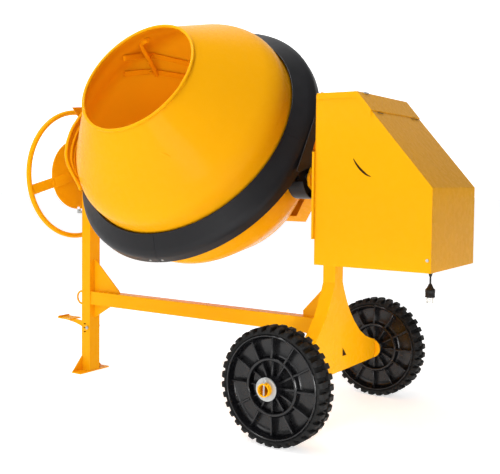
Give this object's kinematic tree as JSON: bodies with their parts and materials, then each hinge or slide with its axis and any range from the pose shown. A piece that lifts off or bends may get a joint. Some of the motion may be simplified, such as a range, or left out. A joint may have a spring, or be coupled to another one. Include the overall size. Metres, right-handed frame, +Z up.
{
  "type": "concrete mixer",
  "caption": "Tilting-drum concrete mixer with a ring-gear drive in a motor box, a handwheel with a foot lock, a beam frame on one fixed foot and two wheels.",
  "frame": {"origin": "ground level at the centre of the outline", "axes": "+X along the beam from the handwheel to the motor box, -Y the side the drum mouth tips to, +Z up"},
  "size_m": [1.781, 0.9609, 1.4338],
  "materials": {
    "machine_paint": "gloss",
    "zinc_steel": "zinc plated",
    "cast_gear": "as cast",
    "bright_steel": "turned",
    "bronze": "machined",
    "black_guard": "semi-gloss",
    "black_hub": "satin",
    "tyre_rubber": "matt",
    "belt_rubber": "matt",
    "motor_paint": "satin",
    "cable_plastic": "satin",
    "plug_brass": "plated"
  },
  "bodies": {
    "frame": {"left_column": "machine_paint", "foot_plate": "machine_paint", "beam": "machine_paint", "beam_gussets": "machine_paint", "right_column": "machine_paint", "axle_skirt": "machine_paint", "axle_tube": "machine_paint", "axle_collars": "machine_paint", "wheel_washers": "zinc_steel", "split_pins": "zinc_steel", "tow_loop": "machine_paint", "bearing_left": "machine_paint", "bearing_right": "machine_paint", "bearing_bolts": "zinc_steel", "back_plate": "machine_paint", "box_back": "machine_paint", "box_cover": "machine_paint", "box_screws": "zinc_steel", "motor_body": "motor_paint", "motor_bracket": "machine_paint", "drive_belt": "belt_rubber", "cable_gland": "cable_plastic", "power_cable": "cable_plastic", "plug_body": "cable_plastic", "plug_pins": "plug_brass", "pedal_pin": "zinc_steel"},
    "yoke": {"yoke_channel": "machine_paint", "trunnion_plates": "machine_paint", "trunnion_left": "zinc_steel", "trunnion_right": "zinc_steel", "shaft_bushes": "bronze", "spindle_housing": "machine_paint", "lock_disc": "machine_paint", "wheel_rim_ring": "machine_paint", "wheel_spokes": "machine_paint", "wheel_hub": "machine_paint", "guard_upper": "black_guard", "guard_right": "black_guard", "guard_lower": "black_guard", "guard_left": "machine_paint", "guard_stays": "machine_paint", "pinion_cover": "black_guard", "guard_bolts": "zinc_steel"},
    "drum": {"drum_cone": "machine_paint", "drum_bowl": "machine_paint", "mouth_lip": "machine_paint", "ring_gear": "cast_gear", "blade_bars": "machine_paint", "drum_spindle": "bright_steel"},
    "drive_shaft": {"pinion": "cast_gear", "pinion_shaft": "bright_steel", "large_pulley": "cast_gear"},
    "motor_rotor": {"motor_shaft": "bright_steel"},
    "near_wheel": {"near_wheel": "black_hub", "near_tyre": "tyre_rubber"},
    "far_wheel": {"far_wheel": "black_hub", "far_tyre": "tyre_rubber"},
    "lid": {"box_lid": "machine_paint"},
    "pedal": {"foot_pedal": "machine_paint"},
    "lock": {"lock_rod": "zinc_steel"}
  },
  "joints": [
    {"name": "drum_tilt", "type": "hinge", "parent": "frame", "child": "yoke", "pos_m": [-0.1335, 0.01215, 0.845], "axis": [1, 0, 0], "range_deg": [-58, 75]},
    {"name": "drum_spin", "type": "hinge", "parent": "yoke", "child": "drum", "pos_m": [-0.1335, 0.06196, 0.92472], "axis": [0, -0.848, 0.5299], "continuous": true},
    {"name": "drive_shaft_spin", "type": "hinge", "parent": "yoke", "child": "drive_shaft", "pos_m": [-0.1335, 0.01215, 0.845], "axis": [1, 0, 0], "continuous": true},
    {"name": "motor_spin", "type": "hinge", "parent": "frame", "child": "motor_rotor", "pos_m": [0.5275, -0.07785, 0.655], "axis": [1, 0, 0], "continuous": true},
    {"name": "near_wheel_spin", "type": "hinge", "parent": "frame", "child": "near_wheel", "pos_m": [0.4575, -0.35635, 0.189], "axis": [0, 1, 0], "continuous": true},
    {"name": "far_wheel_spin", "type": "hinge", "parent": "frame", "child": "far_wheel", "pos_m": [0.4575, 0.38065, 0.189], "axis": [0, 1, 0], "continuous": true},
    {"name": "lid_hinge", "type": "hinge", "parent": "frame", "child": "lid", "pos_m": [0.4935, 0.01215, 1.116], "axis": [0, -1, 0], "range_deg": [0, 100]},
    {"name": "pedal_hinge", "type": "hinge", "parent": "frame", "child": "pedal", "pos_m": [-0.7105, 0.01215, 0.19], "axis": [0, -1, 0], "range_deg": [-17, 4]},
    {"name": "lock_slide", "type": "slide", "parent": "frame", "child": "lock", "axis": [0, 0, -1], "range_m": [-0.0085, 0.0035]}
  ],
  "couplings": [
    {"joint": "drive_shaft_spin", "follows": "drum_spin", "ratio": -7},
    {"joint": "motor_spin", "follows": "drum_spin", "ratio": -49},
    {"joint": "lock_slide", "follows": "pedal_hinge", "m_per_rad": 0.024}
  ]
}
